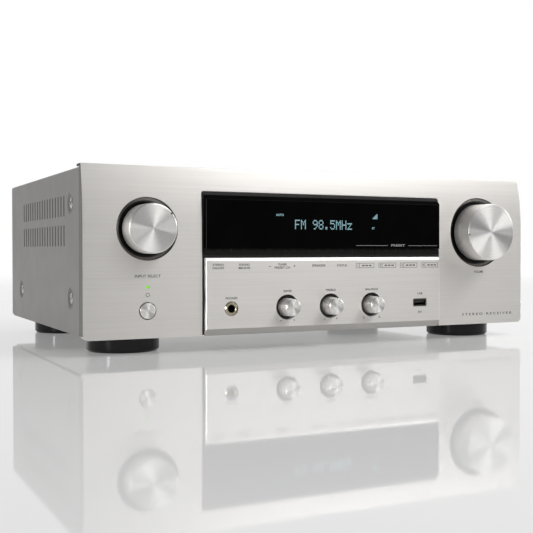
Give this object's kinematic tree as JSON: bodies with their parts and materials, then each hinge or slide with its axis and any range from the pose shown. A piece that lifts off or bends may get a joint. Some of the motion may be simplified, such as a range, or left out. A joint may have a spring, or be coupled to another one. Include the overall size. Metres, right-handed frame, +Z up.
{
  "type": "stereo receiver",
  "caption": "Full-width hi-fi stereo receiver with large source and volume knobs, tone knobs, function keys, display window, vented steel cover and rear connectors.",
  "frame": {"origin": "centre of the bounding box at the bottom, on the surface the feet stand on", "axes": "+X to the right seen from the front, the front faces -Y, +Z up"},
  "size_m": [0.434, 0.3292, 0.1513],
  "materials": {
    "satin_aluminium": "brushed along its length, champagne silver",
    "panel_aluminium": "brushed along its length",
    "spun_aluminium": "spun face, satin side",
    "black_acrylic": "gloss black window",
    "black_moulding": "fine matte",
    "key_black": "semi gloss",
    "painted_steel": "satin silver-grey paint",
    "zinc_steel": "plated sheet",
    "foot_black": "gloss",
    "screw_steel": "plated",
    "led_green": "lit lens",
    "nickel": "plated",
    "circuit_board": "solder mask",
    "transformer_steel": "varnished core",
    "capacitor_sleeve": "sleeve",
    "heat_sink_aluminium": "extruded",
    "terminal_red": "clear red",
    "terminal_black": "black"
  },
  "bodies": {
    "case": {"fascia": "satin_aluminium", "lower_fascia": "panel_aluminium", "display_window": "black_acrylic", "front_frame": "black_moulding", "ac_inlet": "black_moulding", "input_jacks": "black_moulding", "speaker_terminals": "black_moulding", "top_cover": "painted_steel", "bottom_chassis": "zinc_steel", "rear_panel": "zinc_steel", "foot_front_left": "foot_black", "foot_rear_left": "foot_black", "foot_front_right": "foot_black", "foot_rear_right": "foot_black", "side_screw_left_front_upper": "screw_steel", "side_screw_left_front_lower": "screw_steel", "side_screw_left_rear_lower": "screw_steel", "side_screw_right_front_upper": "screw_steel", "side_screw_right_front_lower": "screw_steel", "side_screw_right_rear_lower": "screw_steel", "power_led": "led_green", "headphone_jack": "nickel", "usb_port": "nickel", "antenna_socket": "nickel", "source_encoder": "circuit_board", "volume_encoder": "circuit_board", "tone_board": "circuit_board", "display_module": "circuit_board", "main_board": "circuit_board", "digital_board": "circuit_board", "transformer": "transformer_steel", "capacitor_1": "capacitor_sleeve", "capacitor_2": "capacitor_sleeve", "heat_sink": "heat_sink_aluminium"},
    "source_knob": {"source_knob": "spun_aluminium", "source_shaft": "zinc_steel"},
    "volume_knob": {"volume_knob": "spun_aluminium", "volume_shaft": "zinc_steel"},
    "bass_knob": {"bass_knob": "spun_aluminium"},
    "treble_knob": {"treble_knob": "spun_aluminium"},
    "balance_knob": {"balance_knob": "spun_aluminium"},
    "power_button": {"power_button": "spun_aluminium"},
    "function_key_1": {"function_key_1": "key_black"},
    "function_key_2": {"function_key_2": "key_black"},
    "function_key_3": {"function_key_3": "key_black"},
    "function_key_4": {"function_key_4": "key_black"},
    "function_key_5": {"function_key_5": "key_black"},
    "function_key_6": {"function_key_6": "key_black"},
    "function_key_7": {"function_key_7": "key_black"},
    "function_key_8": {"function_key_8": "key_black"},
    "function_key_9": {"function_key_9": "key_black"},
    "function_key_10": {"function_key_10": "key_black"},
    "terminal_cap_1": {"terminal_cap_1": "terminal_red"},
    "terminal_cap_2": {"terminal_cap_2": "terminal_black"},
    "terminal_cap_3": {"terminal_cap_3": "terminal_red"},
    "terminal_cap_4": {"terminal_cap_4": "terminal_black"},
    "terminal_cap_5": {"terminal_cap_5": "terminal_red"},
    "terminal_cap_6": {"terminal_cap_6": "terminal_black"},
    "terminal_cap_7": {"terminal_cap_7": "terminal_red"},
    "terminal_cap_8": {"terminal_cap_8": "terminal_black"}
  },
  "joints": [
    {"name": "source_turn", "type": "hinge", "parent": "case", "child": "source_knob", "pos_m": [-0.1647, -0.14495, 0.1005], "axis": [0, 1, 0], "continuous": true},
    {"name": "volume_turn", "type": "hinge", "parent": "case", "child": "volume_knob", "pos_m": [0.1647, -0.14495, 0.1005], "axis": [0, 1, 0], "continuous": true},
    {"name": "bass_turn", "type": "hinge", "parent": "case", "child": "bass_knob", "pos_m": [-0.0421, -0.14495, 0.0349], "axis": [0, 1, 0], "range_deg": [-150, 150]},
    {"name": "treble_turn", "type": "hinge", "parent": "case", "child": "treble_knob", "pos_m": [0, -0.14495, 0.0349], "axis": [0, 1, 0], "range_deg": [-150, 150]},
    {"name": "balance_turn", "type": "hinge", "parent": "case", "child": "balance_knob", "pos_m": [0.0421, -0.14495, 0.0349], "axis": [0, 1, 0], "range_deg": [-150, 150]},
    {"name": "power_press", "type": "slide", "parent": "case", "child": "power_button", "axis": [0, 1, 0], "range_m": [0, 0.0015], "stiffness_N_per_m": 400},
    {"name": "function_key_1_press", "type": "slide", "parent": "case", "child": "function_key_1", "axis": [0, 1, 0], "range_m": [0, 0.0007], "stiffness_N_per_m": 1500},
    {"name": "function_key_2_press", "type": "slide", "parent": "case", "child": "function_key_2", "axis": [0, 1, 0], "range_m": [0, 0.0007], "stiffness_N_per_m": 1500},
    {"name": "function_key_3_press", "type": "slide", "parent": "case", "child": "function_key_3", "axis": [0, 1, 0], "range_m": [0, 0.0007], "stiffness_N_per_m": 1500},
    {"name": "function_key_4_press", "type": "slide", "parent": "case", "child": "function_key_4", "axis": [0, 1, 0], "range_m": [0, 0.0007], "stiffness_N_per_m": 1500},
    {"name": "function_key_5_press", "type": "slide", "parent": "case", "child": "function_key_5", "axis": [0, 1, 0], "range_m": [0, 0.0007], "stiffness_N_per_m": 1500},
    {"name": "function_key_6_press", "type": "slide", "parent": "case", "child": "function_key_6", "axis": [0, 1, 0], "range_m": [0, 0.0007], "stiffness_N_per_m": 1500},
    {"name": "function_key_7_press", "type": "slide", "parent": "case", "child": "function_key_7", "axis": [0, 1, 0], "range_m": [0, 0.0007], "stiffness_N_per_m": 1500},
    {"name": "function_key_8_press", "type": "slide", "parent": "case", "child": "function_key_8", "axis": [0, 1, 0], "range_m": [0, 0.0007], "stiffness_N_per_m": 1500},
    {"name": "function_key_9_press", "type": "slide", "parent": "case", "child": "function_key_9", "axis": [0, 1, 0], "range_m": [0, 0.0007], "stiffness_N_per_m": 1500},
    {"name": "function_key_10_press", "type": "slide", "parent": "case", "child": "function_key_10", "axis": [0, 1, 0], "range_m": [0, 0.0007], "stiffness_N_per_m": 1500},
    {"name": "terminal_cap_1_unscrew", "type": "hinge", "parent": "case", "child": "terminal_cap_1", "pos_m": [0.096, 0.14855, 0.0429], "axis": [0, 1, 0], "range_deg": [0, 1800]},
    {"name": "terminal_cap_2_unscrew", "type": "hinge", "parent": "case", "child": "terminal_cap_2", "pos_m": [0.117, 0.14855, 0.0429], "axis": [0, 1, 0], "range_deg": [0, 1800]},
    {"name": "terminal_cap_3_unscrew", "type": "hinge", "parent": "case", "child": "terminal_cap_3", "pos_m": [0.138, 0.14855, 0.0429], "axis": [0, 1, 0], "range_deg": [0, 1800]},
    {"name": "terminal_cap_4_unscrew", "type": "hinge", "parent": "case", "child": "terminal_cap_4", "pos_m": [0.159, 0.14855, 0.0429], "axis": [0, 1, 0], "range_deg": [0, 1800]},
    {"name": "terminal_cap_5_unscrew", "type": "hinge", "parent": "case", "child": "terminal_cap_5", "pos_m": [0.096, 0.14855, 0.0689], "axis": [0, 1, 0], "range_deg": [0, 1800]},
    {"name": "terminal_cap_6_unscrew", "type": "hinge", "parent": "case", "child": "terminal_cap_6", "pos_m": [0.117, 0.14855, 0.0689], "axis": [0, 1, 0], "range_deg": [0, 1800]},
    {"name": "terminal_cap_7_unscrew", "type": "hinge", "parent": "case", "child": "terminal_cap_7", "pos_m": [0.138, 0.14855, 0.0689], "axis": [0, 1, 0], "range_deg": [0, 1800]},
    {"name": "terminal_cap_8_unscrew", "type": "hinge", "parent": "case", "child": "terminal_cap_8", "pos_m": [0.159, 0.14855, 0.0689], "axis": [0, 1, 0], "range_deg": [0, 1800]}
  ]
}
